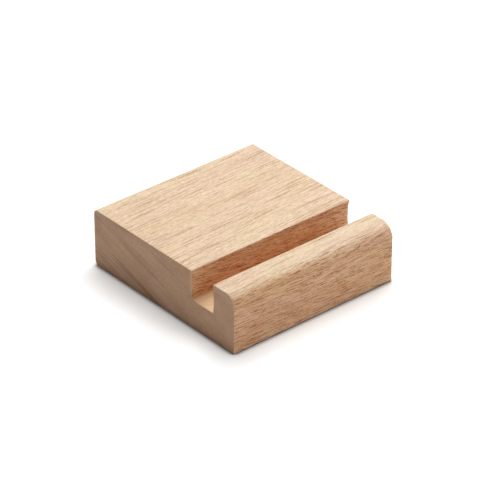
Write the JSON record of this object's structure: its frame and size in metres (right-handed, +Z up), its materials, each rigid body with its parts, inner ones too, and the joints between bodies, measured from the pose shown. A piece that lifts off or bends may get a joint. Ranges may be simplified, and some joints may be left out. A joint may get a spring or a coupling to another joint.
{
  "type": "photo block holder",
  "caption": "Free-standing hardwood block with a through slot behind a low rounded front lip, to hold a photo block, card or small panel upright.",
  "frame": {"origin": "middle of the underside", "axes": "+Z up, X along the grain and the slot, -Y towards the front, where the lip is"},
  "size_m": [0.095, 0.1, 0.03],
  "materials": {
    "hardwood": "planed and sanded bare hardwood, matt"
  },
  "bodies": {
    "root": {"holder_block": "hardwood"}
  },
  "joints": []
}
